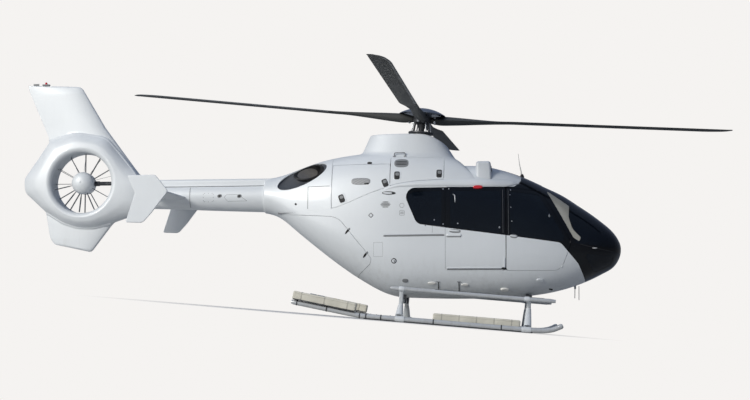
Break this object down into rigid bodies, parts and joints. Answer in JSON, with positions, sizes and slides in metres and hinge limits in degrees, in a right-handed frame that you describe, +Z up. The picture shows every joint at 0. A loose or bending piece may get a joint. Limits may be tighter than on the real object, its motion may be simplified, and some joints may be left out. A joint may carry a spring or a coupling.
{
  "type": "light helicopter",
  "caption": "Light twin-engine helicopter with a bearingless main rotor, a shrouded tail rotor, opening doors and cowlings, and skid landing gear.",
  "frame": {"origin": "on the ground under the middle of the outer box", "axes": "+X towards the nose, +Y to port, +Z up, with the skids level on the ground"},
  "size_m": [12.0272, 10.1668, 3.5857],
  "materials": {
    "boarding_step_left": "satin aluminium",
    "boarding_step_right": "satin aluminium",
    "cabin_floor": "grey painted floor panels",
    "chin_window_left": "dark tinted acrylic",
    "chin_window_right": "dark tinted acrylic",
    "clamshell_door_left": "silver-white gloss paint",
    "clamshell_door_right": "silver-white gloss paint",
    "cockpit_door_left": "silver-white gloss paint",
    "cockpit_door_right": "silver-white gloss paint",
    "cockpit_window_left": "dark tinted acrylic",
    "cockpit_window_right": "dark tinted acrylic",
    "cross_tube_front": "satin aluminium",
    "cross_tube_rear": "satin aluminium",
    "end_plate_left": "silver-white gloss paint",
    "end_plate_right": "silver-white gloss paint",
    "engine_cowl_left": "silver-white gloss paint",
    "engine_cowl_right": "silver-white gloss paint",
    "engines_and_gearbox": "dark cast metal",
    "exhaust_left": "heat-darkened metal",
    "exhaust_right": "heat-darkened metal",
    "front_float_left": "cream coated cloth",
    "front_float_right": "cream coated cloth",
    "fuselage": "silver-white gloss paint",
    "gearbox_cowl_left": "silver-white gloss paint",
    "gearbox_cowl_right": "silver-white gloss paint",
    "hub_cap": "black paint",
    "instrument_console": "matt black",
    "lower_fin": "silver-white gloss paint",
    "mast_fairing": "silver-white gloss paint",
    "passenger_bench": "dark cloth",
    "pilot_seat_left": "dark cloth",
    "pilot_seat_right": "dark cloth",
    "rear_float_left": "cream coated cloth",
    "rear_float_right": "cream coated cloth",
    "rear_window_left": "dark tinted acrylic",
    "rear_window_right": "dark tinted acrylic",
    "rotor_blade_1": "satin dark grey",
    "rotor_blade_2": "satin dark grey",
    "rotor_blade_3": "satin dark grey",
    "rotor_blade_4": "satin dark grey",
    "rotor_mast": "dark grey metal",
    "skid_left": "satin aluminium",
    "skid_right": "satin aluminium",
    "sliding_door_left": "silver-white gloss paint",
    "sliding_door_right": "silver-white gloss paint",
    "sliding_window_left": "dark tinted acrylic",
    "sliding_window_right": "dark tinted acrylic",
    "tail_boom": "silver-white gloss paint",
    "tail_cone": "silver-white gloss paint",
    "tail_rotor": "dark grey metal",
    "tail_rotor_stator": "silver-white gloss paint",
    "tail_shroud": "silver-white gloss paint",
    "tailplane_left": "silver-white gloss paint",
    "tailplane_right": "silver-white gloss paint",
    "upper_cowl": "silver-white gloss paint",
    "upper_fin": "silver-white gloss paint",
    "windshield_left": "dark tinted acrylic",
    "windshield_right": "dark tinted acrylic"
  },
  "bodies": {
    "airframe": {"boarding_step_left": "boarding_step_left", "boarding_step_right": "boarding_step_right", "cabin_floor": "cabin_floor", "chin_window_left": "chin_window_left", "chin_window_right": "chin_window_right", "cross_tube_front": "cross_tube_front", "cross_tube_rear": "cross_tube_rear", "end_plate_left": "end_plate_left", "end_plate_right": "end_plate_right", "engines_and_gearbox": "engines_and_gearbox", "exhaust_left": "exhaust_left", "exhaust_right": "exhaust_right", "front_float_left": "front_float_left", "front_float_right": "front_float_right", "fuselage": "fuselage", "instrument_console": "instrument_console", "lower_fin": "lower_fin", "mast_fairing": "mast_fairing", "passenger_bench": "passenger_bench", "pilot_seat_left": "pilot_seat_left", "pilot_seat_right": "pilot_seat_right", "rear_float_left": "rear_float_left", "rear_float_right": "rear_float_right", "rear_window_left": "rear_window_left", "rear_window_right": "rear_window_right", "skid_left": "skid_left", "skid_right": "skid_right", "sliding_door_left": "sliding_door_left", "sliding_door_right": "sliding_door_right", "sliding_window_left": "sliding_window_left", "sliding_window_right": "sliding_window_right", "tail_boom": "tail_boom", "tail_cone": "tail_cone", "tail_rotor_stator": "tail_rotor_stator", "tail_shroud": "tail_shroud", "tailplane_left": "tailplane_left", "tailplane_right": "tailplane_right", "upper_cowl": "upper_cowl", "upper_fin": "upper_fin", "windshield_left": "windshield_left", "windshield_right": "windshield_right"},
    "main_rotor": {"rotor_mast": "rotor_mast", "hub_cap": "hub_cap", "rotor_blade_1": "rotor_blade_1", "rotor_blade_2": "rotor_blade_2", "rotor_blade_3": "rotor_blade_3", "rotor_blade_4": "rotor_blade_4"},
    "tail_rotor": {"tail_rotor": "tail_rotor"},
    "cockpit_door_right": {"cockpit_door_right": "cockpit_door_right", "cockpit_window_right": "cockpit_window_right"},
    "clamshell_door_right": {"clamshell_door_right": "clamshell_door_right"},
    "engine_cowl_right": {"engine_cowl_right": "engine_cowl_right"},
    "gearbox_cowl_right": {"gearbox_cowl_right": "gearbox_cowl_right"},
    "cockpit_door_left": {"cockpit_door_left": "cockpit_door_left", "cockpit_window_left": "cockpit_window_left"},
    "clamshell_door_left": {"clamshell_door_left": "clamshell_door_left"},
    "engine_cowl_left": {"engine_cowl_left": "engine_cowl_left"},
    "gearbox_cowl_left": {"gearbox_cowl_left": "gearbox_cowl_left"}
  },
  "joints": [
    {"name": "main_rotor_spin", "type": "hinge", "parent": "airframe", "child": "main_rotor", "pos_m": [0.93023, 0, 3.41374], "axis": [0, 0, 1], "continuous": true},
    {"name": "tail_rotor_spin", "type": "hinge", "parent": "airframe", "child": "tail_rotor", "pos_m": [-4.76315, 0, 1.90102], "axis": [0, -1, 0], "continuous": true},
    {"name": "cockpit_door_right_hinge", "type": "hinge", "parent": "airframe", "child": "cockpit_door_right", "pos_m": [3.42381, -0.69223, 1.10932], "axis": [0.2563, -0.0515, 0.9652], "range_deg": [0, 80]},
    {"name": "clamshell_door_right_hinge", "type": "hinge", "parent": "airframe", "child": "clamshell_door_right", "pos_m": [0.33094, -0.73491, 0.99009], "axis": [-0.6761, 0.0129, 0.7367], "range_deg": [0, 85]},
    {"name": "engine_cowl_right_hinge", "type": "hinge", "parent": "airframe", "child": "engine_cowl_right", "pos_m": [-0.45779, -0.58799, 2.49537], "axis": [-0.9965, 0, -0.0837], "range_deg": [0, 80]},
    {"name": "gearbox_cowl_right_hinge", "type": "hinge", "parent": "airframe", "child": "gearbox_cowl_right", "pos_m": [0.49961, -0.50078, 2.68615], "axis": [-0.9965, 0, -0.0837], "range_deg": [0, 80]},
    {"name": "cockpit_door_left_hinge", "type": "hinge", "parent": "airframe", "child": "cockpit_door_left", "pos_m": [3.42381, 0.69223, 1.10932], "axis": [-0.2563, -0.0515, -0.9652], "range_deg": [0, 80]},
    {"name": "clamshell_door_left_hinge", "type": "hinge", "parent": "airframe", "child": "clamshell_door_left", "pos_m": [0.33094, 0.73491, 0.99009], "axis": [0.6761, 0.0129, -0.7367], "range_deg": [0, 85]},
    {"name": "engine_cowl_left_hinge", "type": "hinge", "parent": "airframe", "child": "engine_cowl_left", "pos_m": [-0.45779, 0.58799, 2.49537], "axis": [0.9965, 0, 0.0837], "range_deg": [0, 80]},
    {"name": "gearbox_cowl_left_hinge", "type": "hinge", "parent": "airframe", "child": "gearbox_cowl_left", "pos_m": [0.49961, 0.50078, 2.68615], "axis": [0.9965, 0, 0.0837], "range_deg": [0, 80]}
  ]
}
